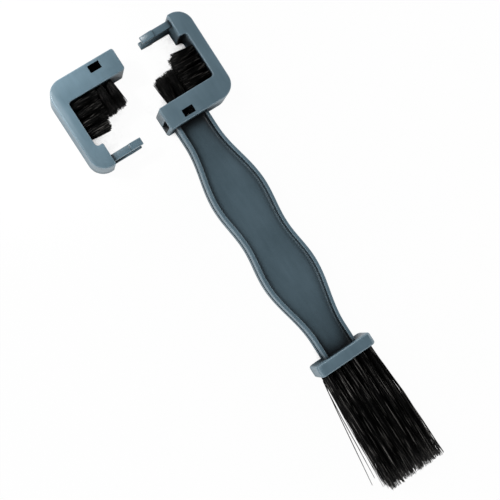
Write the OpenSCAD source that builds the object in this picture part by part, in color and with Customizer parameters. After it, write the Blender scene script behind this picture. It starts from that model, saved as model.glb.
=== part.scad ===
// Bike chain cleaner: a moulded brush whose head is half of a bristled ring, and a clip-on
// half that snaps to it round the chain. It lies on its back: X is across, Y runs up the
// handle to the head, Z is the thickness. The clip-on half is shown pulled off to the left.

/* [Ring] */
// Width of the closed ring
ring_w = 51; // [46:0.5:58]
// Height of the closed ring
ring_h = 51; // [46:0.5:60]
// Thickness of the two mouldings from front to back
depth = 20; // [19:0.5:26]
// Length of the long arm of each half
long_arm = 40.4; // [37:0.1:43]
// Height of the arms
arm_h = 12.5; // [11.5:0.1:14]
// Thickness of the back wall of each half
back_wall = 6.6; // [5.6:0.1:8]
// Radius of the outer corners
corner_r = 8.5; // [4:0.5:10]
// Radius of the fillets inside the opening
inner_r = 1.8; // [0.6:0.1:3]
// Gap between the two halves when they are closed
closing_gap = 0.2; // [0.1:0.05:0.4]
// How far the clip-on half is pulled off
pulled_off = 32.6; // [24:0.1:60]

/* [Snap prongs] */
// Length of a prong outside its arm
prong_len = 17.6; // [16:0.1:19]
// Height of a prong
prong_h = 3.8; // [3:0.1:4.6]
// Distance of a prong's centre line from the arm's outer edge
prong_inset = 3.8; // [3.3:0.1:4.6]
// Thickness of one tine of the fork
tine_t = 2.4; // [1.6:0.1:3]
// Height of the barb on a tine
barb_h = 0.9; // [0.5:0.05:1.2]
// Length of the barb with its ramp
barb_len = 3.6; // [2.4:0.1:5]
// Length of the barb's flat top
barb_land = 0.8; // [0.3:0.1:1.6]
// Play between the barb and the edge that it snaps behind
barb_play = 0.6; // [0.2:0.1:1]
// Length of the lead-in taper at a tine's tip
lead_in = 2.4; // [1:0.1:3]
// Depth of the lead-in taper
lead_in_drop = 1; // [0.4:0.1:1.4]
// Distance of a tine's bending axis inside the arm
root_inset = 1.8; // [1.5:0.1:3]
// Running clearance round a tine's root
root_clear = 0.06; // [0.03:0.01:0.1]
// Room beside a tine's root in which it bends
bend_room = 0.25; // [0.2:0.05:0.5]

/* [Sockets] */
// Size of a socket from front to back
socket_d = 16; // [14:0.5:17]
// Clearance above and below a prong in its socket
socket_clear = 0.2; // [0.1:0.05:0.4]
// Clearance over a barb in its socket
barb_clear = 0.15; // [0.1:0.05:0.3]
// Space past a prong's tip in its socket
socket_end = 0.8; // [0.4:0.1:1.5]
// Distance of a window from the arm's end
window_at = 9.65; // [8.5:0.05:11]
// Length of a window
window_w = 6.4; // [5:0.1:7]
// Height of a window
window_h = 4; // [3:0.1:4.6]
// Width of the lip that a barb snaps behind
lip_w = 0.9; // [0.5:0.1:1.2]
// Clearance between the lip and a tine
lip_clear = 0.15; // [0.1:0.05:0.3]

/* [Handle] */
// Length of the handle between the head and the collar
handle_len = 141; // [120:1:170]
// Thickness of the handle
handle_t = 12; // [9:0.5:15]
// Offset of the handle from the middle of the ring
handle_x = -1.9; // [-4:0.1:2]
// Width of the necks at both ends
neck_w = 18.8; // [16:0.2:24]
// Width of the upper swelling
upper_swell_w = 29.8; // [25:0.2:34]
// Width of the waist between the swellings
waist_w = 25.7; // [20:0.1:30]
// Width of the lower swelling
lower_swell_w = 30; // [25:0.2:34]
// Width of the raised rims
rim_w = 1.9; // [1.2:0.1:3]
// Thickness of the web between the rims
web_t = 3; // [2:0.1:5]

/* [Collar] */
// Width of the collar
collar_w = 33.5; // [32:0.5:40]
// Height of the collar along the handle
collar_h = 6.8; // [6.2:0.1:12]
// Radius of the collar's corners
collar_r = 2.6; // [1:0.1:4]

/* [Ring tufts] */
// Diameter of a tuft hole in the ring
tuft_hole_d = 3.4; // [3:0.1:3.8]
// Depth of a tuft hole in the ring
tuft_hole_depth = 4.4; // [3:0.1:4.8]
// Distance between tufts in the ring from front to back, and along an arm
tuft_pitch = 5.5; // [5.2:0.1:5.8]
// Distance between tufts up a back wall
wall_pitch = 5.15; // [5.05:0.05:5.4]
// Distance of the outer row on an arm from the arm's end
arm_row_at = 10.3; // [9:0.1:11]
// Gap between tufts and what is next to them, also when the two halves are closed
tuft_gap = 0.3; // [0.2:0.05:1]
// Diameter of a tuft at its tips
tuft_tip_d = 4.6; // [3.6:0.1:5]
// Width of one strand in the ring
tuft_strand_d = 0.9; // [0.5:0.05:0.95]

/* [Long brush] */
// Diameter of a tuft hole in the collar
long_hole_d = 4.4; // [3.8:0.1:4.8]
// Depth of a tuft hole in the collar
long_hole_depth = 5.4; // [4:0.1:6]
// Distance between tufts across the collar
long_pitch = 5.1; // [5:0.05:5.6]
// Distance between the rows of the long brush
long_row_pitch = 5.4; // [5:0.1:6]
// Length of the long bristles
long_len = 67.8; // [40:0.5:90]
// Most that a long bristle falls short of the full length
long_ragged = 3; // [0:0.5:6]
// Width of one strand in the long brush
long_strand_d = 0.7; // [0.4:0.02:0.76]
// How far the outer stray bristle leans out
stray_lean = 7.4; // [2:0.2:12]
// How far the inner stray bristle leans out
second_stray_lean = 3.8; // [1:0.2:6]

/* [Anchors] */
// Thickness of an anchor plate
anchor_t = 0.4; // [0.2:0.05:0.6]
// Height of an anchor plate
anchor_h = 1.6; // [1:0.1:2.4]
// Clearance round an anchor plate
anchor_clear = 0.05; // [0.02:0.01:0.1]
// Clearance of a tuft in its hole
tuft_clear = 0.05; // [0.02:0.01:0.1]
// Least distance of a strand from the edge of its plug
tuft_edge = 0.1; // [0.05:0.01:0.2]

/* [Hidden] */
$fn = 48;

// Overrun of every cut past the face that it opens
over = 1;
// How far the handle runs into the head and the collar
weld = 0.8;
// How far a strand is rooted in its plug
strand_root = 0.5;

// Counts
ring_columns = 3;
wall_rows = 4;
arm_rows = 2;
long_columns = 6;
long_rows = 3;
outline_steps = 46;
// Sides of a tuft's hole and of the plug in it, which the strands hide
tuft_sides = 12;
// Strands in each circle of a tuft, from its middle outwards
ring_strands = [1, 5];
long_strands = [1, 5, 9];
// The tuft of the long brush whose two outermost strands stray, and their numbers in it
stray_row = 1;
stray_column = 0;
stray_strands = [9, 10];

// The handle's stations as shares of its length, from the head down
neck_end_share = 0.07;
upper_swell_share = 0.33;
waist_share = 0.5;
lower_swell_share = 0.663;
neck_start_share = 0.93;

// Shares that shape the bristles
long_fan_share = 0.09;
long_bow_share = 0.35;
strand_wander_share = 0.14;
stray_short_share = 0.09;
stray_bow_share = 0.42;

// The ring's frame: its middle is at X 0, Y 0, and its back face at Z 0
half_w = ring_w / 2;
half_h = ring_h / 2;
opening_h = ring_h - 2 * arm_h;
inner_x = half_w - back_wall;
long_end = half_w - long_arm;
short_end = -long_end + closing_gap;
prong_y = half_h - prong_inset;
socket_h = prong_h + 2 * socket_clear;
socket_len = prong_len + socket_end;
tine_face = socket_d / 2 - barb_clear - barb_h;
tine_mid = tine_face - tine_t / 2;
barb_at = window_at + closing_gap + barb_play;
lip_h = barb_clear + barb_h - lip_clear;

// The first row on a wall just clears the long arm
wall_row_y = -opening_h / 2 + tuft_tip_d / 2 + tuft_gap;

// The tufts of one half stop short of the other half's when the two are closed
arm_row_x = long_end + arm_row_at;
arm_bristle_len = (opening_h - tuft_gap) / 2;
wall_bristle_len = inner_x + arm_row_x - tuft_tip_d / 2 - tuft_gap;

// The handle and the collar below the ring
handle_top = -half_h;
collar_top = handle_top - handle_len;
collar_bottom = collar_top - collar_h;
brush_end = collar_bottom - long_len;

// The part stands on its back with its box centred on the origin
middle_x = -pulled_off / 2;
middle_y = (half_h + brush_end) / 2;

moulding_colour = "#5b707d";
bristle_colour = "#141414";
anchor_colour = "#b9bcbf";

// A smooth step from one width to the next
function eased(from, to, share) = from + (to - from) * (1 - cos(180 * share)) / 2;

// Half of the handle's width at a share of its length
function handle_half_w(share) =
    (share < neck_end_share ? neck_w :
     share < upper_swell_share ?
        eased(neck_w, upper_swell_w,
              (share - neck_end_share) / (upper_swell_share - neck_end_share)) :
     share < waist_share ?
        eased(upper_swell_w, waist_w,
              (share - upper_swell_share) / (waist_share - upper_swell_share)) :
     share < lower_swell_share ?
        eased(waist_w, lower_swell_w,
              (share - waist_share) / (lower_swell_share - waist_share)) :
     share < neck_start_share ?
        eased(lower_swell_w, neck_w,
              (share - lower_swell_share) / (neck_start_share - lower_swell_share)) :
     neck_w) / 2;

// The handle's outline, drawn in by an inset, with its two ends run on by an extension
module handle_outline(inset, extension) {
    shares = [for (i = [0 : outline_steps]) i / outline_steps];
    right = [for (s = shares) [handle_half_w(s) - inset, handle_top - s * handle_len]];
    left = [for (s = shares) [-handle_half_w(1 - s) + inset, collar_top + s * handle_len]];
    end_x = neck_w / 2 - inset;
    polygon(concat(
        extension > 0 ? [[end_x, handle_top + extension]] : [],
        right,
        extension > 0 ? [[end_x, collar_top - extension],
                         [-end_x, collar_top - extension]] : [],
        left,
        extension > 0 ? [[-end_x, handle_top + extension]] : []
    ));
}

// The handle, with a recess in its front and in its back between the raised rims
module handle() {
    recess = (handle_t - web_t) / 2;
    translate([handle_x, 0, depth / 2])
        difference() {
            translate([0, 0, -handle_t / 2])
                linear_extrude(handle_t) handle_outline(0, weld);
            translate([0, 0, web_t / 2])
                linear_extrude(recess + over) handle_outline(rim_w, 0);
            translate([0, 0, -web_t / 2 - recess - over])
                linear_extrude(recess + over) handle_outline(rim_w, 0);
        }
}

// The collar that the long bristles are set in
module collar() {
    flat_w = collar_w - 2 * collar_r;
    flat_d = depth - 2 * collar_r;
    translate([handle_x, collar_top, depth / 2])
        rotate([90, 0, 0])
            linear_extrude(collar_h) {
                square([collar_w, flat_d], center = true);
                square([flat_w, depth], center = true);
                for (x = [-flat_w / 2, flat_w / 2], y = [-flat_d / 2, flat_d / 2])
                    translate([x, y]) circle(collar_r);
            }
}

// Outline of one half of the ring: back wall at +X, long arm below, short arm above
module half_outline() {
    difference() {
        union() {
            translate([long_end, -half_h])
                square([long_arm - corner_r, ring_h]);
            translate([long_end, -half_h + corner_r])
                square([long_arm, ring_h - 2 * corner_r]);
            for (y = [-half_h + corner_r, half_h - corner_r])
                translate([half_w - corner_r, y]) circle(corner_r);
        }
        // The opening for the chain, with its two fillets against the back wall
        translate([long_end - over, -opening_h / 2])
            square([inner_x - inner_r - long_end + over, opening_h]);
        translate([long_end - over, -opening_h / 2 + inner_r])
            square([inner_x - long_end + over, opening_h - 2 * inner_r]);
        for (y = [-opening_h / 2 + inner_r, opening_h / 2 - inner_r])
            translate([inner_x - inner_r, y]) circle(inner_r);
        // The upper arm is short, and the other half's long arm meets it
        translate([long_end - over, 0])
            square([short_end - long_end + over, half_h + over]);
    }
}

// The socket in the long arm's end, with a low lip in front of each window
module socket_cut() {
    translate([long_end, -prong_y, depth / 2])
        difference() {
            translate([-over, -socket_h / 2, -socket_d / 2])
                cube([socket_len + over, socket_h, socket_d]);
            for (side = [-1, 1])
                translate([window_at - lip_w / 2, 0, side * (socket_d / 2 + over / 2 - lip_h)])
                    cube([lip_w, socket_h + over, over], center = true);
        }
}

// The windows in the front and back faces over the barbs
module window_cut() {
    translate([long_end + window_at, -prong_y - window_h / 2, -over])
        cube([window_w, window_h, depth + 2 * over]);
}

// The recess in the short arm's end that a tine is rooted in
module tine_recess(side) {
    seat_h = prong_h + 2 * root_clear;
    mouth = tine_t + 2 * bend_room;
    translate([short_end + root_inset, prong_y, depth / 2 + side * tine_mid]) {
        rotate([90, 0, 0])
            cylinder(h = seat_h, r = tine_t / 2 + root_clear, center = true);
        translate([-root_inset - over, -seat_h / 2, -mouth / 2])
            cube([root_inset + over, seat_h, mouth]);
    }
}

// Places a tuft on the back wall: its axis points out of the hole along +Z
module on_wall(row, column) {
    translate([inner_x, wall_row_y + row * wall_pitch, column_z(column)])
        rotate([0, -90, 0]) children();
}

// Places a tuft on the long arm
module on_arm(row, column) {
    translate([arm_row_x + row * tuft_pitch, -opening_h / 2, column_z(column)])
        rotate([-90, 0, 0]) children();
}

// Places a tuft under the collar
module on_collar(row, column) {
    translate([
        handle_x + (column - (long_columns - 1) / 2) * long_pitch,
        collar_bottom,
        depth / 2 + (row - (long_rows - 1) / 2) * long_row_pitch
    ])
        rotate([90, 0, 0]) children();
}

function column_z(column) = depth / 2 + (column - (ring_columns - 1) / 2) * tuft_pitch;

module tuft_hole(hole_d, hole_depth) {
    translate([0, 0, -hole_depth])
        cylinder(h = hole_depth + over, d = hole_d, $fn = tuft_sides);
}

// One half of the ring, without its tines and bristles
module ring_half() {
    difference() {
        linear_extrude(depth) half_outline();
        socket_cut();
        window_cut();
        for (side = [-1, 1]) tine_recess(side);
        for (column = [0 : ring_columns - 1]) {
            for (row = [0 : wall_rows - 1])
                on_wall(row, column) tuft_hole(tuft_hole_d, tuft_hole_depth);
            for (row = [0 : arm_rows - 1])
                on_arm(row, column) tuft_hole(tuft_hole_d, tuft_hole_depth);
        }
    }
}

// One tine of a prong, from its round root out along -X, with its barb on the outer side
module tine(side) {
    profile = [
        [0, 0],
        [barb_at, 0],
        [barb_at, barb_h],
        [barb_at + barb_land, barb_h],
        [barb_at + barb_len, 0],
        [prong_len - lead_in, 0],
        [prong_len, -lead_in_drop],
        [prong_len, -tine_t],
        [0, -tine_t]
    ];
    // The shank runs back to the round root inside the arm
    outline = concat([[-root_inset, 0]], profile, [[-root_inset, -tine_t]]);
    points = [for (p = outline) [-p[0], side * (p[1] + tine_face)]];
    translate([short_end, prong_y, depth / 2]) {
        rotate([90, 0, 0])
            linear_extrude(prong_h, center = true) polygon(points);
        translate([root_inset, 0, side * tine_mid])
            rotate([90, 0, 0]) cylinder(h = prong_h, d = tine_t, center = true);
    }
}

// Three corners of a strand round a point of its path
function strand_corners(centre, radius, turn) =
    [for (a = [0, 120, 240]) centre + radius * [cos(a + turn), sin(a + turn), 0]];

// One three-sided strand along a path that climbs in Z
module strand(path, width, turn) {
    last = len(path) - 1;
    points = [for (p = path) each strand_corners(p, width / 2, turn)];
    sides = [for (k = [0 : last - 1], j = [0 : 2])
        let (a = 3 * k + j, b = 3 * k + (j + 1) % 3)
        each [[a, a + 3, b], [b, a + 3, b + 3]]];
    ends = [[0, 1, 2], [3 * last + 2, 3 * last + 1, 3 * last]];
    polyhedron(points, concat(sides, ends));
}

// Where the strands of a tuft stand: circles of the given counts inside a radius
function strand_places(counts, radius) =
    [for (k = [0 : len(counts) - 1], i = [0 : counts[k] - 1])
        let (r = radius * k / (len(counts) - 1), a = 360 * (i + k / 2) / counts[k])
        r * [cos(a), sin(a)]];

// Distance of a plug's flats from its middle
function plug_flat_r(hole_d) = (hole_d / 2 - tuft_clear) * cos(180 / tuft_sides);

// The plug in the hole, slotted for its anchor
module plug(hole_d, hole_depth) {
    difference() {
        translate([0, 0, -hole_depth])
            cylinder(h = hole_depth, d = hole_d - 2 * tuft_clear, $fn = tuft_sides);
        translate([0, 0, -hole_depth + (anchor_h + anchor_clear - over) / 2])
            cube([hole_d, anchor_t + 2 * anchor_clear, anchor_h + anchor_clear + over],
                 center = true);
    }
}

// One anchor plate on the floor of a tuft hole
module anchor(hole_d, hole_depth) {
    translate([0, 0, -hole_depth + anchor_h / 2])
        cube([hole_d - 2 * anchor_clear, anchor_t, anchor_h], center = true);
}

// A tuft of the ring, splayed from its hole to its tips
module ring_tuft(bristle_len, seed) {
    stand_r = plug_flat_r(tuft_hole_d) - tuft_strand_d / 2 - tuft_edge;
    splay = (tuft_tip_d - tuft_strand_d) / 2 / stand_r;
    places = strand_places(ring_strands, stand_r);
    chance = rands(0, 1, 2 * len(places), seed);
    plug(tuft_hole_d, tuft_hole_depth);
    for (i = [0 : len(places) - 1]) {
        p = places[i];
        reach = bristle_len - tuft_strand_d * chance[2 * i];
        strand([[p[0], p[1], -strand_root], [splay * p[0], splay * p[1], reach]],
               tuft_strand_d, 120 * chance[2 * i + 1]);
    }
}

// How far a strand of the long brush strays to the left of its place
function stray_of(row, column, i) =
    row != stray_row || column != stray_column ? 0 :
    i == stray_strands[0] ? stray_lean :
    i == stray_strands[1] ? second_stray_lean : 0;

// A tuft of the long brush, leaning outwards with its place in the row
module long_tuft(row, column, seed) {
    stand_r = plug_flat_r(long_hole_d) - long_strand_d / 2 - tuft_edge;
    across = (column - (long_columns - 1) / 2) * long_pitch;
    along = (row - (long_rows - 1) / 2) * long_row_pitch;
    places = strand_places(long_strands, stand_r);
    chance = rands(0, 1, 4 * len(places), seed);
    plug(long_hole_d, long_hole_depth);
    for (i = [0 : len(places) - 1]) {
        p = places[i];
        stray = stray_of(row, column, i);
        short = stray > 0 ? stray_short_share * long_len : long_ragged * chance[4 * i];
        reach = long_len - (i == 0 ? 0 : short);
        wander = strand_wander_share * long_strand_d * [chance[4 * i + 1], chance[4 * i + 2]];
        lean = long_fan_share * [across + p[0], along + p[1]];
        middle = p + long_bow_share * lean + wander - [stray_bow_share * stray, 0];
        strand([[p[0], p[1], -strand_root],
                concat(middle, reach / 2),
                concat(p + lean - [stray, 0], reach)],
               long_strand_d, 120 * chance[4 * i + 3]);
    }
}

// The clip-on half is the same half, turned round and pulled off
module clip_place() {
    translate([-pulled_off, 0, 0]) rotate([0, 0, 180]) children();
}

module placed() {
    translate([-middle_x, -middle_y, 0]) children();
}

module wall_tufts(row, seed) {
    color(bristle_colour)
        for (column = [0 : ring_columns - 1])
            on_wall(row, column) ring_tuft(wall_bristle_len, seed + column);
}

module arm_tufts(row, seed) {
    color(bristle_colour)
        for (column = [0 : ring_columns - 1])
            on_arm(row, column) ring_tuft(arm_bristle_len, seed + column);
}

module long_bristles(row, seed) {
    color(bristle_colour)
        for (column = [0 : long_columns - 1])
            on_collar(row, column) long_tuft(row, column, seed + column);
}

module wall_anchors() {
    color(anchor_colour)
        for (row = [0 : wall_rows - 1], column = [0 : ring_columns - 1])
            on_wall(row, column) anchor(tuft_hole_d, tuft_hole_depth);
}

module arm_anchors() {
    color(anchor_colour)
        for (row = [0 : arm_rows - 1], column = [0 : ring_columns - 1])
            on_arm(row, column) anchor(tuft_hole_d, tuft_hole_depth);
}

module handle_moulding() {
    color(moulding_colour)
        placed()
            difference() {
                union() {
                    ring_half();
                    handle();
                    collar();
                }
                for (row = [0 : long_rows - 1], column = [0 : long_columns - 1])
                    on_collar(row, column) tuft_hole(long_hole_d, long_hole_depth);
            }
}

module clip_moulding() {
    color(moulding_colour) placed() clip_place() ring_half();
}

module head_front_tine() {
    color(moulding_colour) placed() tine(1);
}

module head_back_tine() {
    color(moulding_colour) placed() tine(-1);
}

module clip_front_tine() {
    color(moulding_colour) placed() clip_place() tine(1);
}

module clip_back_tine() {
    color(moulding_colour) placed() clip_place() tine(-1);
}

module long_bristle_anchors() {
    color(anchor_colour)
        placed()
            for (row = [0 : long_rows - 1], column = [0 : long_columns - 1])
                on_collar(row, column) anchor(long_hole_d, long_hole_depth);
}

handle_moulding();
clip_moulding();
head_front_tine();
head_back_tine();
clip_front_tine();
clip_back_tine();
placed() wall_tufts(3, 10);  // head_wall_tufts_upper
placed() wall_tufts(2, 20);  // head_wall_tufts_middle
placed() wall_tufts(1, 30);  // head_wall_tufts_lower
placed() wall_tufts(0, 140);  // head_wall_tufts_corner
placed() arm_tufts(0, 40);  // head_arm_tufts_outer
placed() arm_tufts(1, 50);  // head_arm_tufts_inner
placed() clip_place() wall_tufts(1, 60);  // clip_wall_tufts_upper
placed() clip_place() wall_tufts(2, 70);  // clip_wall_tufts_middle
placed() clip_place() wall_tufts(3, 80);  // clip_wall_tufts_lower
placed() clip_place() wall_tufts(0, 150);  // clip_wall_tufts_corner
placed() clip_place() arm_tufts(0, 90);  // clip_arm_tufts_outer
placed() clip_place() arm_tufts(1, 100);  // clip_arm_tufts_inner
placed() long_bristles(2, 110);  // long_bristles_front
placed() long_bristles(1, 120);  // long_bristles_middle
placed() long_bristles(0, 130);  // long_bristles_back
placed() wall_anchors();  // head_wall_anchors
placed() arm_anchors();  // head_arm_anchors
placed() clip_place() wall_anchors();  // clip_wall_anchors
placed() clip_place() arm_anchors();  // clip_arm_anchors
long_bristle_anchors();
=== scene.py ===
import math
import random

import bmesh
import bpy
from mathutils import Matrix, Vector


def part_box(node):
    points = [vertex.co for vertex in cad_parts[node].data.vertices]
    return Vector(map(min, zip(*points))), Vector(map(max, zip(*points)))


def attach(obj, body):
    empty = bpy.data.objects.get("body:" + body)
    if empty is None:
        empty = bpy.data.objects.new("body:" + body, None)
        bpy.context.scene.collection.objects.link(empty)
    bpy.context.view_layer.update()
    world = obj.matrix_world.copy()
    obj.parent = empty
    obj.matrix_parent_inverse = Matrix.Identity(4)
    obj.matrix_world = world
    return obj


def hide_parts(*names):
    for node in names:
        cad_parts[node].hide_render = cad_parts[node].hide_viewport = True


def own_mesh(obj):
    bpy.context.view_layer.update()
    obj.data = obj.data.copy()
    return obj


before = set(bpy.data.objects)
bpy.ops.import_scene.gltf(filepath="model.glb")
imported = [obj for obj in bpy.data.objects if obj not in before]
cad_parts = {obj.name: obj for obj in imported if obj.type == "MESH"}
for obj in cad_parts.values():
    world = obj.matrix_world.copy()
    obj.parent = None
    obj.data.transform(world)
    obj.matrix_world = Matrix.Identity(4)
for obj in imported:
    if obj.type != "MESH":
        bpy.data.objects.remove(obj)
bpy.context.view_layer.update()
print("frame loaded")

# The camera stands where the photograph was taken from: above the tool, a little to its left
camera = {
    "place": (-0.0996, 0.0217, 0.5682), "turn": (4.704, -9.454, -33.316),
    "lens": 79.2, "sensor": 36, "nearest": 0.01,
}

# Half of the ring; the clip-on half is the same one, turned round. Metres throughout.
ring = {
    "width": 0.051, "height": 0.051, "depth": 0.020, "longArm": 0.0404, "armHeight": 0.0125,
    "backWall": 0.0066, "cornerRadius": 0.0085, "innerRadius": 0.0018, "closingGap": 0.0002,
    "armEndRadius": 0.0014, "edge": 0.0007, "smallEdge": 0.00025, "pulledOff": 0.0326,
}
socket = {
    "inset": 0.0038, "height": 0.0042, "across": 0.016, "length": 0.0184,
    "lipAt": 0.00875, "lipEnd": 0.00965, "lipHeight": 0.0009,
    "windowWidth": 0.0064, "windowHeight": 0.004,
}
prong = {
    "length": 0.0176, "height": 0.0038, "thickness": 0.0024, "face": 0.00695, "rootInset": 0.0018,
    "barbAt": 0.01045, "barbFlat": 0.0118, "barbHeight": 0.0009,
    "tipDrop": 0.0008, "barbTipDrop": 0.0003,
    "rootRound": 0.98,  # the root's rounding as a share of half its thickness
    "edge": 0.0003, "seatClear": 0.00006, "bendRoom": 0.00025,
}
grip = {
    "length": 0.141, "thickness": 0.012, "offset": -0.0019, "rim": 0.0019, "web": 0.003,
    "spare": 0.0045, "root": 0.0012, "stations": 71, "rimEdge": 0.0005, "floorFillet": 0.0012,
    "seamWidth": 0.0005, "seamHeight": 0.0003,
    # width of the grip at shares of its length, from the ring down
    "widths": [(0, 0.0188), (0.07, 0.0188), (0.33, 0.0298), (0.5, 0.0257),
               (0.663, 0.030), (0.93, 0.0188), (1, 0.0188)],
}
collar = {"width": 0.0335, "height": 0.0068, "cornerRadius": 0.0028, "edge": 0.0012}
tufts = {
    "columns": 3, "pitch": 0.0055, "wallPitch": 0.00515, "cornerGap": 0.0026, "armRowAt": 0.0103,
    "holeWidth": 0.0034, "holeDepth": 0.0044,
    # length of each row's bristles
    "lengths": {
        "wall_tufts_corner": 0.0155, "wall_tufts_lower": 0.0150, "wall_tufts_middle": 0.0148,
        "wall_tufts_upper": 0.0130, "arm_tufts_outer": 0.0142, "arm_tufts_inner": 0.0148,
    },
    "tipWidth": 0.0060, "flare": 0.6, "ragged": 0.0009, "unevenness": 1.5,
    "strands": 64, "strandWidth": 0.00034, "lean": 0.0003, "stray": 0.00013, "holeRim": 0.00008,
    # where a bristle's points lie, as shares of what stands out; the first is in the hole
    "shares": (-0.25, 0, 0.15, 0.5, 1),
    # how far bristles bent over by the other half's still stand out when the ring is closed
    "closedWall": 0.0106, "closedArm": 0.0128,
}
longBrush = {
    "columns": 6, "rows": ("back", "middle", "front"), "pitch": 0.0051, "rowPitch": 0.0054,
    "holeWidth": 0.0044, "holeDepth": 0.0054, "holeRim": 0.00025,
    "length": 0.0677, "ragged": 0.0034, "unevenness": 1.6, "fan": 0.09, "lean": -0.0008,
    "strands": 74, "strandWidth": 0.00036,
    "wander": 0.0013, "wanderBend": 0.8, "depthShare": 0.6, "waveShare": 0.35,
    # bristles that start farther out than this keep closer to the bundle
    "outermost": 0.0142, "outerShare": 0.35,
    "deepest": 0.0006,  # least distance of a bristle from the front and back planes
    "shares": (-0.07, 0, 0.2, 0.45, 0.72, 1),
}
# The two bristles that have come away to the left: how far at shares of their length
strays = {
    "outer": {
        "foot": (-0.0017, 0.0008), "length": 0.0612, "width": 1.3,
        "away": [(-0.06, 0), (0, 0), (0.04, 0.0015), (0.3, 0.0038), (0.65, 0.0066), (1, 0.0094)],
    },
    "inner": {
        "foot": (-0.0016, -0.0006), "length": 0.0592, "width": 1.2,
        "away": [(-0.06, 0), (0, 0), (0.15, 0.0022), (0.4, 0.0036), (0.7, 0.0048), (1, 0.0062)],
    },
}

# Where the middle of the closed ring is, read from the CAD
_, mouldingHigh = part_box("handle_moulding")
ringX = mouldingHigh[0] - ring["width"] / 2
ringY = mouldingHigh[1] - ring["height"] / 2
middleZ = ring["depth"] / 2
longEnd = ring["width"] / 2 - ring["longArm"]
shortEnd = -longEnd + ring["closingGap"]
innerX = ring["width"] / 2 - ring["backWall"]
openingHalf = ring["height"] / 2 - ring["armHeight"]
prongY = ring["height"] / 2 - socket["inset"]
gripTop = -ring["height"] / 2
collarTop = gripTop - grip["length"]
collarBottom = collarTop - collar["height"]
over = 0.001  # how far a cutter reaches past what it cuts
sharp = 1  # radians that two faces turn by at an edge that counts as one
squarely, roughly = 0.9, 0.5  # how much of an edge or a normal lies along its axis
paintedShadeReach = 0.03  # how far off a face can be that still shuts another one in, for the painted shade


# Small helpers for working as in the viewport

def deselectAll():
    if bpy.context.object and bpy.context.object.mode != "OBJECT":
        bpy.ops.object.mode_set(mode="OBJECT")
    bpy.ops.object.select_all(action="DESELECT")


def makeActive(obj):
    deselectAll()
    obj.select_set(True)
    bpy.context.view_layer.objects.active = obj


def addBlock(name, low, high):
    # a block between two corners, with its place in its mesh
    deselectAll()
    middle = [(a + b) / 2 for a, b in zip(low, high)]
    bpy.ops.mesh.primitive_cube_add(size=1, location=middle)
    block = bpy.context.object
    block.scale = [b - a for a, b in zip(low, high)]
    block.name = name
    bpy.ops.object.transform_apply(location=True, rotation=True, scale=True)
    return block


def addRod(name, start, direction, length, radius, sides=32):
    # a rod from a point along a direction
    deselectAll()
    direction = Vector(direction).normalized()
    turn = direction.to_track_quat("Z", "Y").to_euler()
    middle = Vector(start) + direction * length / 2
    bpy.ops.mesh.primitive_cylinder_add(
        vertices=sides, radius=radius, depth=length, location=middle, rotation=turn
    )
    rod = bpy.context.object
    rod.name = name
    bpy.ops.object.transform_apply(location=True, rotation=True, scale=True)
    return rod


def editSelected(obj, faces=None, edges=None):
    # goes into edit mode with just the faces or edges that pass a test selected
    makeActive(obj)
    bpy.ops.object.mode_set(mode="EDIT")
    mode = "FACE" if faces else "EDGE"
    bpy.ops.mesh.select_mode(type=mode)
    bpy.ops.mesh.select_all(action="DESELECT")
    mesh = bmesh.from_edit_mesh(obj.data)
    for face in mesh.faces if faces else []:
        face.select_set(faces(face))
    for edge in mesh.edges if edges else []:
        edge.select_set(edges(edge))
    bmesh.update_edit_mesh(obj.data)


def leaveEdit():
    bpy.ops.object.mode_set(mode="OBJECT")


def roundWhere(obj, edges, width, segments):
    # rounds the edges that pass a test
    editSelected(obj, edges=edges)
    bpy.ops.mesh.bevel(offset=width, segments=segments, profile=0.5)
    leaveEdit()


def sliceAt(obj, place, normal, **settings):
    # cuts all faces along a plane
    makeActive(obj)
    bpy.ops.object.mode_set(mode="EDIT")
    bpy.ops.mesh.select_all(action="SELECT")
    bpy.ops.mesh.bisect(plane_co=place, plane_no=normal, **settings)
    leaveEdit()


def runsAlong(edge, axis):
    step = edge.verts[1].co - edge.verts[0].co
    return abs(step[axis]) > squarely * step.length


def near(a, b, slack=0.00002):
    return abs(a - b) < slack


def cutAway(obj, cutter):
    makeActive(obj)
    cut = obj.modifiers.new("cut", "BOOLEAN")
    cut.operation = "DIFFERENCE"
    cut.solver = "EXACT"
    cut.object = cutter
    bpy.ops.object.modifier_apply(modifier=cut.name)
    makeActive(cutter)
    bpy.ops.object.delete()


def drillHoles(obj, roots, depth, width, sides):
    # a round hole for each tuft, against the direction of its bristles
    drills = [
        addRod("drill", foot - way * depth, way, depth + over, width / 2, sides)
        for foot, way in roots
    ]
    makeActive(drills[0])
    for drill in drills:
        drill.select_set(True)
    bpy.ops.object.join()
    cutAway(obj, bpy.context.object)


def roundEdges(obj, width, segments, angle):
    # rounds every edge that is sharper than an angle in degrees
    makeActive(obj)
    bevel = obj.modifiers.new("edges", "BEVEL")
    bevel.width = width
    bevel.segments = segments
    bevel.limit_method = "ANGLE"
    bevel.angle_limit = math.radians(angle)
    bpy.ops.object.modifier_apply(modifier=bevel.name)


def smoothOver(obj, angle=32):
    makeActive(obj)
    bpy.ops.object.shade_smooth_by_angle(angle=math.radians(angle))


def closeUp(obj):
    # merges doubles and turns every face outwards
    makeActive(obj)
    bpy.ops.object.mode_set(mode="EDIT")
    bpy.ops.mesh.select_all(action="SELECT")
    bpy.ops.mesh.remove_doubles(threshold=0.000002)
    bpy.ops.mesh.normals_make_consistent(inside=False)
    leaveEdit()


def ringToPart(obj):
    # from the ring's middle to its place in the part
    obj.data.transform(Matrix.Translation((ringX, ringY, 0)))


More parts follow.
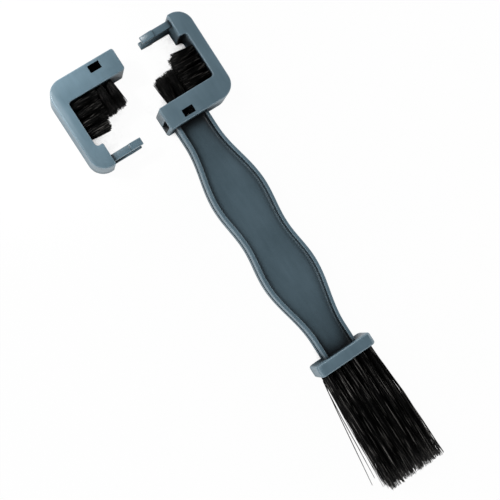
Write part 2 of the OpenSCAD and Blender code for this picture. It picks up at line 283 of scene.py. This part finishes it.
def copyTurned(obj, name):
    # the clip-on half's copy: turned half round and pulled off
    makeActive(obj)
    bpy.ops.object.duplicate()
    copy = bpy.context.object
    copy.name = name
    copy.data.transform(Matrix.Rotation(math.pi, 4, "Z"))
    copy.data.transform(Matrix.Translation((-ring["pulledOff"], 0, 0)))
    return copy


# Half of the ring

def tuftRoots():
    # for each row by name, the foot of each tuft and the direction of its bristles
    rows = {}
    columns = range(tufts["columns"])
    levels = [middleZ + (c - (tufts["columns"] - 1) / 2) * tufts["pitch"] for c in columns]
    for row, name in enumerate(("corner", "lower", "middle", "upper")):
        y = -openingHalf + tufts["cornerGap"] + row * tufts["wallPitch"]
        rows[f"wall_tufts_{name}"] = [
            (Vector((innerX, y, z)), Vector((-1, 0, 0))) for z in levels
        ]
    for row, name in enumerate(("outer", "inner")):
        x = longEnd + tufts["armRowAt"] + row * tufts["pitch"]
        rows[f"arm_tufts_{name}"] = [
            (Vector((x, -openingHalf, z)), Vector((0, 1, 0))) for z in levels
        ]
    return rows


def makeRingHalf():
    halfW, halfH, depth = ring["width"] / 2, ring["height"] / 2, ring["depth"]
    half = addBlock("ringHalf", (longEnd, -halfH, 0), (halfW, halfH, depth))
    roundWhere(half, lambda e: runsAlong(e, 2) and e.verts[0].co.x > 0,
               ring["cornerRadius"], segments=14)

    opening = addBlock(
        "opening", (longEnd - over, -openingHalf, -over), (innerX, openingHalf, depth + over)
    )
    roundWhere(opening, lambda e: runsAlong(e, 2) and e.verts[0].co.x > 0,
               ring["innerRadius"], segments=6)
    cutAway(half, opening)
    cutAway(half, addBlock(
        "armGap", (longEnd - over, 0, -over), (shortEnd, halfH + over, depth + over)
    ))
    roundWhere(half, lambda e: runsAlong(e, 2) and near(e.verts[0].co.x, longEnd),
               ring["armEndRadius"], segments=5)
    roundEdges(half, ring["edge"], segments=3, angle=40)

    # the socket, with a low lip in front of each window, and the windows right through
    low, high = -prongY - socket["height"] / 2, -prongY + socket["height"] / 2
    wide, narrow = socket["across"] / 2, socket["across"] / 2 - socket["lipHeight"]
    for start, end, reach in (
        (-over, socket["length"], narrow),
        (-over, socket["lipAt"], wide),
        (socket["lipEnd"], socket["length"], wide),
    ):
        cutAway(half, addBlock(
            "hollow", (longEnd + start, low, middleZ - reach),
            (longEnd + end, high, middleZ + reach),
        ))
    window = socket["windowHeight"] / 2
    cutAway(half, addBlock(
        "window", (longEnd + socket["lipEnd"], -prongY - window, -over),
        (longEnd + socket["lipEnd"] + socket["windowWidth"], -prongY + window, depth + over),
    ))
    # the seats of the two tines
    seat = prong["height"] / 2 + prong["seatClear"]
    for side in (-1, 1):
        z = middleZ + side * (prong["face"] - prong["thickness"] / 2)
        mouth = prong["thickness"] / 2 + prong["bendRoom"]
        rootX = shortEnd + prong["rootInset"]
        cutAway(half, addBlock(
            "mouth", (shortEnd - over, prongY - seat, z - mouth),
            (rootX, prongY + seat, z + mouth),
        ))
        cutAway(half, addRod(
            "round", (rootX, prongY - seat, z), (0, 1, 0), 2 * seat,
            prong["thickness"] / 2 + prong["seatClear"],
        ))
    roundEdges(half, ring["smallEdge"], segments=2, angle=55)
    roots = [root for row in tuftRoots().values() for root in row]
    drillHoles(half, roots, tufts["holeDepth"], tufts["holeWidth"], sides=20)
    closeUp(half)
    smoothOver(half)
    return half


def makeTine(side):
    # from its round root along -X, with the barb on the outer side
    inner, outer = prong["face"] - prong["thickness"], prong["face"]
    h = prong["height"] / 2
    z = sorted((middleZ + side * inner, middleZ + side * outer))
    tine = addBlock(
        "tine", (shortEnd - prong["length"], prongY - h, z[0]),
        (shortEnd + prong["rootInset"] + prong["thickness"] / 2, prongY + h, z[1]),
    )
    outerZ = middleZ + side * outer
    tipX, barbX, flatX = (shortEnd - prong[k] for k in ("length", "barbAt", "barbFlat"))
    for x in (barbX, flatX):
        sliceAt(tine, (x, 0, 0), (1, 0, 0))
    # the barb stands out at its catch face, stays level for a little and runs down to the tip
    editSelected(tine, faces=lambda f: (
        near(f.calc_center_median().z, outerZ) and f.calc_center_median().x < barbX
    ))
    bpy.ops.mesh.extrude_region_move(
        TRANSFORM_OT_translate={"value": (0, 0, side * prong["barbHeight"])}
    )
    leaveEdit()
    for vertex in tine.data.vertices:
        rise = side * (vertex.co.z - outerZ)
        if near(vertex.co.x, tipX) and rise > -prong["barbHeight"] / 2:
            onBarb = rise > prong["barbHeight"] / 2
            vertex.co.z = outerZ - side * prong["barbTipDrop" if onBarb else "tipDrop"]
    roundWhere(tine, lambda e: runsAlong(e, 1) and e.verts[0].co.x > shortEnd,
               prong["thickness"] / 2 * prong["rootRound"], segments=6)
    roundEdges(tine, prong["edge"], segments=2, angle=35)
    closeUp(tine)
    smoothOver(tine)
    return tine


# The grip and the collar

def easedWidth(share):
    stops = grip["widths"]
    for (a, widthA), (b, widthB) in zip(stops, stops[1:]):
        if share <= b:
            turn = math.pi * (share - a) / (b - a)
            return widthA + (widthB - widthA) * (1 - math.cos(turn)) / 2
    return stops[-1][1]


def makeGrip():
    half = grip["thickness"] / 2
    x, w = grip["offset"], grip["widths"][0][1] / 2
    body = addBlock(
        "grip", (x - w, collarTop - grip["spare"], middleZ - half),
        (x + w, gripTop + grip["spare"], middleZ + half),
    )
    editSelected(body, edges=lambda e: runsAlong(e, 1))
    bpy.ops.mesh.subdivide(number_cuts=grip["stations"])
    leaveEdit()
    for vertex in body.data.vertices:
        share = min(max((gripTop - vertex.co.y) / grip["length"], 0), 1)
        side = 1 if vertex.co.x > x else -1
        vertex.co.x = x + side * easedWidth(share) / 2

    # the moulding seam runs round the middle of both sides
    for z in (-grip["seamWidth"] / 2, grip["seamWidth"] / 2):
        sliceAt(body, (0, 0, middleZ + z), (0, 0, 1))
    editSelected(body, faces=lambda f: (
        abs(f.normal.x) > roughly
        and near(f.calc_center_median().z, middleZ, grip["seamWidth"] / 4)
    ))
    bpy.ops.mesh.extrude_region_shrink_fatten(
        TRANSFORM_OT_shrink_fatten={"value": grip["seamHeight"]}
    )
    leaveEdit()

    # front and back are sunk between raised rims
    for side in (1, -1):
        editSelected(body, faces=lambda f: f.normal.z * side > squarely and near(
            f.calc_center_median().z, middleZ + side * half
        ))
        bpy.ops.mesh.inset(thickness=grip["rim"], depth=0, use_boundary=True)
        bpy.ops.mesh.extrude_region_move(
            TRANSFORM_OT_translate={"value": (0, 0, side * (grip["web"] / 2 - half))}
        )
        leaveEdit()
    for height, width, segments in (
        (grip["web"] / 2, grip["floorFillet"], 4), (half, grip["rimEdge"], 3),
    ):
        levels = [middleZ + side * height for side in (1, -1)]
        roundWhere(body, lambda e: any(
            near(e.verts[0].co.z, z) and near(e.verts[1].co.z, z) for z in levels
        ) and e.calc_face_angle() > sharp, width, segments)

    # both ends are cut off, rims and all, so that the sunk faces run right up to arm and collar
    for y, way in ((gripTop + grip["root"], 1), (collarTop - grip["root"], -1)):
        sliceAt(body, (0, y, 0), (0, way, 0), use_fill=True, clear_outer=True)
    closeUp(body)
    smoothOver(body, angle=40)
    return body


def collarRoots(row):
    # foot of each tuft in a row of the long brush, and the direction of its bristles
    z = middleZ + (row - (len(longBrush["rows"]) - 1) / 2) * longBrush["rowPitch"]
    middle = (longBrush["columns"] - 1) / 2
    return [
        (Vector((grip["offset"] + (column - middle) * longBrush["pitch"], collarBottom, z)),
         Vector((0, -1, 0)))
        for column in range(longBrush["columns"])
    ]


def makeCollar():
    half = collar["width"] / 2
    block = addBlock(
        "collar", (grip["offset"] - half, collarBottom, 0),
        (grip["offset"] + half, collarTop, ring["depth"]),
    )
    roundWhere(block, lambda e: runsAlong(e, 1), collar["cornerRadius"], segments=8)
    roundEdges(block, collar["edge"], segments=4, angle=40)
    roots = [root for row in range(len(longBrush["rows"])) for root in collarRoots(row)]
    drillHoles(block, roots, longBrush["holeDepth"], longBrush["holeWidth"], sides=24)
    closeUp(block)
    smoothOver(block)
    return block


# Bristles: each row is one curve with a spline for each strand, turned into a mesh

def discPlaces(count, radius):
    # evenly spread places in a circle, from its middle out
    golden = math.pi * (3 - math.sqrt(5))
    return [
        (radius * math.sqrt((i + 0.5) / count) * math.cos(i * golden),
         radius * math.sqrt((i + 0.5) / count) * math.sin(i * golden))
        for i in range(count)
    ]


def bristlesFrom(name, paths, width, thicker=(), taper=0.6):
    # the last strands can be thicker, and each one's tip is tapered
    curve = bpy.data.curves.new(name, "CURVE")
    curve.dimensions = "3D"
    curve.bevel_depth = width / 2
    curve.bevel_resolution = 0
    curve.use_fill_caps = True
    radii = [1] * (len(paths) - len(thicker)) + list(thicker)
    for path, radius in zip(paths, radii):
        spline = curve.splines.new("POLY")
        spline.points.add(len(path) - 1)
        for point, place in zip(spline.points, path):
            point.co = (*place, 1)
            point.radius = radius
        spline.points[-1].radius = taper * radius
    obj = bpy.data.objects.new(name, curve)
    bpy.context.scene.collection.objects.link(obj)
    makeActive(obj)
    bpy.ops.object.convert(target="MESH")
    obj = bpy.context.object
    closeUp(obj)
    bpy.ops.object.shade_smooth()
    return obj


def tuftPaths(foot, way, length, chance):
    # bristles of a short tuft, splaying from the hole to the tips
    across = Vector((0, 0, 1))
    along = way.cross(across)
    root = tufts["holeWidth"] / 2 - tufts["strandWidth"] / 2 - tufts["holeRim"]
    splay = (tufts["tipWidth"] - tufts["strandWidth"]) / 2 / root
    spin = chance.uniform(0, math.pi)
    leanA, leanB = (chance.uniform(-tufts["lean"], tufts["lean"]) for _ in range(2))
    paths = []
    for a, b in discPlaces(tufts["strands"], root):
        a, b = a * math.cos(spin) - b * math.sin(spin), a * math.sin(spin) + b * math.cos(spin)
        reach = length - tufts["ragged"] * chance.random() ** tufts["unevenness"]
        strayA, strayB = (chance.gauss(0, tufts["stray"]) for _ in range(2))
        path = []
        for share in tufts["shares"]:
            widen = 1 + (splay - 1) * max(share, 0) ** tufts["flare"]
            bend = max(share, 0) ** 2
            path.append(
                foot + way * reach * share
                + along * (a * widen + bend * (strayA + leanA))
                + across * (b * widen + bend * (strayB + leanB))
            )
        paths.append(path)
    return paths


def longPaths(foot, chance):
    # long bristles, fanning a little and wandering between their neighbours
    brush = longBrush
    root = brush["holeWidth"] / 2 - brush["strandWidth"] / 2 - brush["holeRim"]
    lowest, highest = brush["deepest"], ring["depth"] - brush["deepest"]
    paths = []
    for a, b in discPlaces(brush["strands"], root):
        reach = brush["length"] - brush["ragged"] * chance.random() ** brush["unevenness"]
        fromMiddle = foot.x + a - grip["offset"]
        fanX = brush["fan"] * fromMiddle + brush["lean"]
        fanZ = brush["fan"] * (foot.z + b - middleZ)
        driftX, driftZ = (chance.gauss(0, brush["wander"]) for _ in range(2))
        if abs(fromMiddle) > brush["outermost"]:
            driftX *= brush["outerShare"]
        waveX, waveZ = (chance.gauss(0, brush["wander"] * brush["waveShare"]) for _ in range(2))
        path = []
        for share in brush["shares"]:
            up = max(share, 0)
            wave = math.sin(math.pi * up)
            x = foot.x + a + fanX * up + driftX * up ** brush["wanderBend"] + waveX * wave
            z = foot.z + b + fanZ * up + brush["depthShare"] * driftZ * up + waveZ * wave
            path.append(Vector((x, foot.y - reach * share, min(max(z, lowest), highest))))
        paths.append(path)
    return paths


def strayPath(foot, stray):
    # one bristle that has come away to the left
    x, z = stray["foot"]
    return [
        Vector((foot.x + x - away, foot.y - stray["length"] * share, foot.z + z))
        for share, away in stray["away"]
    ]


# Materials

def linear(hexColour):
    values = [int(hexColour[i:i + 2], 16) / 255 for i in (1, 3, 5)]
    return [v / 12.92 if v <= 0.04045 else ((v + 0.055) / 1.055) ** 2.4 for v in values] + [1]


def addNode(tree, kind, inputs=None, **settings):
    # one node with its settings, and its inputs set or linked by name or number
    node = tree.nodes.new(kind)
    for name, value in settings.items():
        setattr(node, name, value)
    for name, value in (inputs or {}).items():
        if isinstance(value, bpy.types.NodeSocket):
            tree.links.new(value, node.inputs[name])
        else:
            node.inputs[name].default_value = value
    return node


def startMaterial(name):
    material = bpy.data.materials.new(name)
    material.use_nodes = True
    tree = material.node_tree
    tree.nodes.clear()
    output = addNode(tree, "ShaderNodeOutputMaterial")
    coords = addNode(tree, "ShaderNodeTexCoord").outputs["Object"]
    return material, tree, output, coords


def finishMaterial(tree, output, shader):
    tree.links.new(shader.outputs[0], output.inputs["Surface"])


def moulded():
    # polypropylene, injection moulded in a finely spark-eroded tool: a satin sheen that breaks
    # up softly, a faint cloudiness where the melt flowed, and a fine even grain
    material, tree, output, coords = startMaterial("injectionMouldedPolypropylene")
    cloud = addNode(tree, "ShaderNodeTexNoise", {
        "Vector": coords, "Scale": 60, "Detail": 3, "Roughness": 0.5,  # clouds of 17 mm
    })
    flow = addNode(tree, "ShaderNodeMapping", {"Vector": coords, "Scale": (1, 0.16, 1)})
    streak = addNode(tree, "ShaderNodeTexNoise", {
        "Vector": flow.outputs[0], "Scale": 420, "Detail": 2,  # flow lines 2.4 mm apart
    })
    both = addNode(tree, "ShaderNodeMix", {
        "Factor": 0.35, 2: cloud.outputs["Fac"], 3: streak.outputs["Fac"],
    }, data_type="FLOAT")
    tone = addNode(tree, "ShaderNodeValToRGB", {"Fac": both.outputs[0]})
    dark, light = tone.color_ramp.elements
    dark.position, dark.color = 0.3, linear("#546974")
    light.position, light.color = 0.7, linear("#627884")
    # painted shade: the colour is darkened nearly to black where faces shut each other in
    paintedShadeProbe = addNode(tree, "ShaderNodeAmbientOcclusion", {"Distance": paintedShadeReach}, samples=8)
    depth = addNode(tree, "ShaderNodeMapRange", {
        "Value": paintedShadeProbe.outputs["AO"], "From Min": 0.5, "From Max": 0.9, "To Min": 0.02,
    }, interpolation_type="SMOOTHSTEP")
    paintedShade = addNode(tree, "ShaderNodeMix", {
        "Factor": depth.outputs[0], 6: linear("#0b1014"), 7: tone.outputs[0],
    }, data_type="RGBA")
    # the eroded grain is about 0.1 mm; drawn at 0.35 mm so that it shows
    grain = addNode(tree, "ShaderNodeTexNoise", {"Vector": coords, "Scale": 2800, "Detail": 2})
    bump = addNode(tree, "ShaderNodeBump", {
        "Height": grain.outputs["Fac"], "Strength": 0.12, "Distance": 0.00005,
    })
    rough = addNode(tree, "ShaderNodeMapRange", {
        "Value": cloud.outputs["Fac"], "To Min": 0.26, "To Max": 0.36,
    })
    shader = addNode(tree, "ShaderNodeBsdfPrincipled", {
        "Base Color": paintedShade.outputs[2], "Roughness": rough.outputs[0], "IOR": 1.49,
        "Normal": bump.outputs[0],
    })
    finishMaterial(tree, output, shader)
    return material


def nylon(way, along, paintedHighlight):
    # nylon 6 monofilament, drawn and dyed black: nearly black, with a painted highlight drawn as
    # lighter streaks along the strands, standing in for the thin line of light on a strand
    material, tree, output, coords = startMaterial(f"drawnBlackNylon{way}")
    drawn = addNode(tree, "ShaderNodeMapping", {"Vector": coords, "Scale": along})
    streak = addNode(tree, "ShaderNodeTexNoise", {
        "Vector": drawn.outputs[0], "Scale": 1600, "Detail": 1,  # 0.6 mm: a strand or two
    })
    # painted highlight: the lighter colour of the ramp, in streaks along the strands
    tone = addNode(tree, "ShaderNodeValToRGB", {"Fac": streak.outputs["Fac"]})
    dark, light = tone.color_ramp.elements
    dark.position, dark.color = 0.58, linear("#040404")
    light.position, light.color = 0.7, linear(paintedHighlight)
    rough = addNode(tree, "ShaderNodeMapRange", {
        "Value": streak.outputs["Fac"], "To Min": 0.35, "To Max": 0.55,
    })
    shader = addNode(tree, "ShaderNodeBsdfPrincipled", {
        "Base Color": tone.outputs[0], "Roughness": rough.outputs[0], "IOR": 1.42,
        "Specular IOR Level": 0.12,
    })
    finishMaterial(tree, output, shader)
    return material


def galvanised():
    # flattened galvanised wire, clinched: a dull grey, mottled in spangles of 0.7 mm
    material, tree, output, coords = startMaterial("galvanisedWire")
    mottle = addNode(tree, "ShaderNodeTexNoise", {"Vector": coords, "Scale": 1500, "Detail": 3})
    tone = addNode(tree, "ShaderNodeValToRGB", {"Fac": mottle.outputs["Fac"]})
    dark, light = tone.color_ramp.elements
    dark.color, light.color = linear("#8d9093"), linear("#b9bcbf")
    rough = addNode(tree, "ShaderNodeMapRange", {
        "Value": mottle.outputs["Fac"], "To Min": 0.35, "To Max": 0.55,
    })
    shader = addNode(tree, "ShaderNodeBsdfPrincipled", {
        "Base Color": tone.outputs[0], "Roughness": rough.outputs[0], "Metallic": 1,
    })
    finishMaterial(tree, output, shader)
    return material


def seenDirectly(tree):
    # 1 for what the camera sees, also in a reflection
    path = addNode(tree, "ShaderNodeLightPath")
    return addNode(tree, "ShaderNodeMath", {
        0: path.outputs["Is Camera Ray"], 1: path.outputs["Is Glossy Ray"],
    }, operation="MAXIMUM").outputs[0]


def paleFloor():
    # matt card: white to the camera but for the shadows on it, grey in the light it throws back,
    # with painted shade where the part shuts it in, as under a window, and painted shade in the
    # reflections at its foot
    material, tree, output, coords = startMaterial("mattWhiteCard")
    seen = seenDirectly(tree)
    # fibres are far finer; drawn at 3 mm so that they show
    fibre = addNode(tree, "ShaderNodeTexNoise", {"Vector": coords, "Scale": 300})
    tone = addNode(tree, "ShaderNodeValToRGB", {"Fac": fibre.outputs["Fac"]})
    dark, light = tone.color_ramp.elements
    dark.color, light.color = linear("#f4f4f4"), linear("#f8f8f8")
    thrown = addNode(tree, "ShaderNodeMix", {
        "Factor": seen, 6: linear("#9a9a9a"), 7: tone.outputs[0],
    }, data_type="RGBA")
    card = addNode(tree, "ShaderNodeBsdfDiffuse", {"Color": thrown.outputs[2]})
    paintedShadeProbe = addNode(tree, "ShaderNodeAmbientOcclusion", {"Distance": paintedShadeReach}, samples=8)
    # painted shade: to the camera the card glows less where the part shuts it in
    shaded = addNode(tree, "ShaderNodeMapRange", {
        "Value": paintedShadeProbe.outputs["AO"], "From Min": 0.17, "From Max": 0.25,
    })
    # painted shade in reflections: the card glows less near the part's foot
    foot = addNode(tree, "ShaderNodeMapRange", {
        "Value": paintedShadeProbe.outputs["AO"], "From Min": 0.38, "From Max": 0.78,
    })
    path = addNode(tree, "ShaderNodeLightPath")
    strength = addNode(tree, "ShaderNodeMix", {
        "Factor": path.outputs["Is Camera Ray"], 2: foot.outputs[0], 3: shaded.outputs[0],
    }, data_type="FLOAT")
    glow = addNode(tree, "ShaderNodeEmission", {"Strength": strength.outputs[0]})
    share = addNode(tree, "ShaderNodeMath", {0: seen, 1: 0.97}, operation="MULTIPLY")
    mixed = addNode(tree, "ShaderNodeMixShader", {
        "Fac": share.outputs[0], 1: card.outputs[0], 2: glow.outputs[0],
    })
    finishMaterial(tree, output, mixed)
    return material


plastic, wire = moulded(), galvanised()
# the noise runs drawn out along the strands
onWalls = nylon("OnWalls", (0.06, 1, 1), "#5f5d5a")
onArms = nylon("OnArms", (1, 0.06, 1), "#383634")
underCollar = nylon("UnderCollar", (1, 0.03, 1), "#6c6a67")
print("materials made")


def dress(piece, material, body, node):
    # gives a piece its material, hangs it on the body it rides on, and hides the CAD node it
    # stands for
    piece.data.materials.clear()
    piece.data.materials.append(material)
    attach(piece, body)
    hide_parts(node)


# The two mouldings: the halves of the ring, their prongs, and the grip with its collar
headHalf = makeRingHalf()
clipHalf = copyTurned(headHalf, "clip_half")
headHalf.name = "head_half"
for piece in (headHalf, clipHalf):
    ringToPart(piece)
dress(headHalf, plastic, "handle", "handle_moulding")
dress(clipHalf, plastic, "clip", "clip_moulding")
print("ring halves made")

for side, place in ((1, "front"), (-1, "back")):
    tine = makeTine(side)
    clipTine = copyTurned(tine, f"clip_{place}_prong")
    tine.name = f"head_{place}_prong"
    for piece, half in ((tine, "head"), (clipTine, "clip")):
        ringToPart(piece)
        dress(piece, plastic, f"{half}_{place}_tine", f"{half}_{place}_tine")
print("prongs made")

for piece, name in ((makeGrip(), "wavy_grip"), (makeCollar(), "brush_collar")):
    piece.name = name
    ringToPart(piece)
    dress(piece, plastic, "handle", "handle_moulding")
print("grip and collar made")

# Tufts in the ring, each row a piece
toPart = Matrix.Translation((ringX, ringY, 0))
toClip = toPart @ Matrix.Translation((-ring["pulledOff"], 0, 0)) @ Matrix.Rotation(math.pi, 4, "Z")
# the clip-on half is turned round, so that its upper row is the other half's lower one
turnedNames = {"wall_tufts_lower": "wall_tufts_upper", "wall_tufts_upper": "wall_tufts_lower"}
chance = random.Random(7)
for half, body, place in (("head", "handle", toPart), ("clip", "clip", toClip)):
    for rowName, roots in tuftRoots().items():
        length, onWall = tufts["lengths"][rowName], rowName.startswith("wall")
        if half == "clip":
            rowName = turnedNames.get(rowName, rowName)
        paths = [p for foot, way in roots for p in tuftPaths(foot, way, length, chance)]
        row = bristlesFrom(f"{half}_{rowName}_bristles", paths, tufts["strandWidth"])
        row.data.transform(place)
        dress(row, onWalls if onWall else onArms, body, f"{half}_{rowName}")
        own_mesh(row)
print("ring tufts made")

# The long brush, each row a piece, with two strays in its middle row
for row, rowName in enumerate(longBrush["rows"]):
    roots = collarRoots(row)
    paths = [p for foot, way in roots for p in longPaths(foot, chance)]
    away = strays.values() if rowName == "middle" else []
    paths += [strayPath(roots[0][0], stray) for stray in away]
    piece = bristlesFrom(f"long_{rowName}_bristles", paths, longBrush["strandWidth"],
                         [stray["width"] for stray in away])
    piece.data.transform(toPart)
    dress(piece, underCollar, "handle", f"long_bristles_{rowName}")
print("long brush made")

# The anchors stay as the CAD has them
for node in ("head_wall_anchors", "head_arm_anchors", "clip_wall_anchors", "clip_arm_anchors",
             "long_bristle_anchors"):
    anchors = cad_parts[node]
    anchors.data.materials.clear()
    anchors.data.materials.append(wire)

# Floor, light and camera
deselectAll()
bpy.ops.mesh.primitive_plane_add(size=4, location=(0, 0, -0.0001))
floor = bpy.context.object
floor.name = "floor"
bpy.ops.object.transform_apply(location=True, rotation=True, scale=True)
floor.data.materials.append(paleFloor())
floor.visible_shadow = False  # so that the faces towards it don't count as shut in for the painted shade

# positions, aims and sizes in metres, the spot's cone in degrees
lamps = {
    "key": {"place": (-0.45, 0.5, 1.0), "aim": (0, 0, 0), "size": 0.5, "watts": 5},
    # falls on the clip-on half and fades out towards the fixed one
    "upperLeft": {"place": (-0.3, 0.35, 0.5), "aim": (-0.066, 0.148, 0.02), "size": 0.03,
                  "watts": 19, "cone": 15},
}
for name, lamp in lamps.items():
    data = bpy.data.lights.new(name, "SPOT" if "cone" in lamp else "AREA")
    data.energy = lamp["watts"]
    if "cone" in lamp:
        data.spot_size, data.spot_blend = math.radians(lamp["cone"]), 1
        data.shadow_soft_size = lamp["size"]
    else:
        data.shape, data.size = "DISK", lamp["size"]
    obj = bpy.data.objects.new(name, data)
    bpy.context.scene.collection.objects.link(obj)
    obj.location = lamp["place"]
    towardsPart = Vector(lamp["aim"]) - Vector(lamp["place"])
    obj.rotation_euler = towardsPart.to_track_quat("-Z", "Y").to_euler()

# A white sweep all round and a dimmer ceiling, which draws the bright lines along the edges. The
# first two numbers are heights of a direction, as its Z part, between which it fades.
sky = {"sweepTop": 0.12, "ceilingFrom": 0.5, "sweep": 4.4, "ceiling": 0.1}
world = bpy.data.worlds.new("studio")
bpy.context.scene.world = world
world.use_nodes = True
tree = world.node_tree
tree.nodes.clear()
towards = addNode(tree, "ShaderNodeTexCoord").outputs["Generated"]
height = addNode(tree, "ShaderNodeSeparateXYZ", {0: towards}).outputs["Z"]
level = addNode(tree, "ShaderNodeMapRange", {
    "Value": height, "From Min": sky["sweepTop"], "From Max": sky["ceilingFrom"],
    "To Min": sky["sweep"], "To Max": sky["ceiling"],
}, interpolation_type="SMOOTHSTEP")
# no light from under the floor
above = addNode(tree, "ShaderNodeMath", {0: height, 1: 0}, operation="GREATER_THAN")
strength = addNode(tree, "ShaderNodeMath", {
    0: level.outputs["Result"], 1: above.outputs[0],
}, operation="MULTIPLY")
room = addNode(tree, "ShaderNodeBackground", {
    "Color": (1, 1, 1, 1), "Strength": strength.outputs[0],
})
white = addNode(tree, "ShaderNodeBackground", {"Color": (1, 1, 1, 1), "Strength": 1})
path = addNode(tree, "ShaderNodeLightPath")
mixed = addNode(tree, "ShaderNodeMixShader", {
    "Fac": path.outputs["Is Camera Ray"], 1: room.outputs[0], 2: white.outputs[0],
})
out = addNode(tree, "ShaderNodeOutputWorld")
tree.links.new(mixed.outputs[0], out.inputs["Surface"])

view = bpy.data.cameras.new("camera")
view.lens = camera["lens"]
view.sensor_width = camera["sensor"]
view.clip_start = camera["nearest"]
viewer = bpy.data.objects.new("camera", view)
bpy.context.scene.collection.objects.link(viewer)
viewer.location = camera["place"]
viewer.rotation_euler = [math.radians(a) for a in camera["turn"]]
bpy.context.scene.camera = viewer
bpy.context.scene.view_settings.view_transform = "Standard"
print("floor, lamps and camera set")
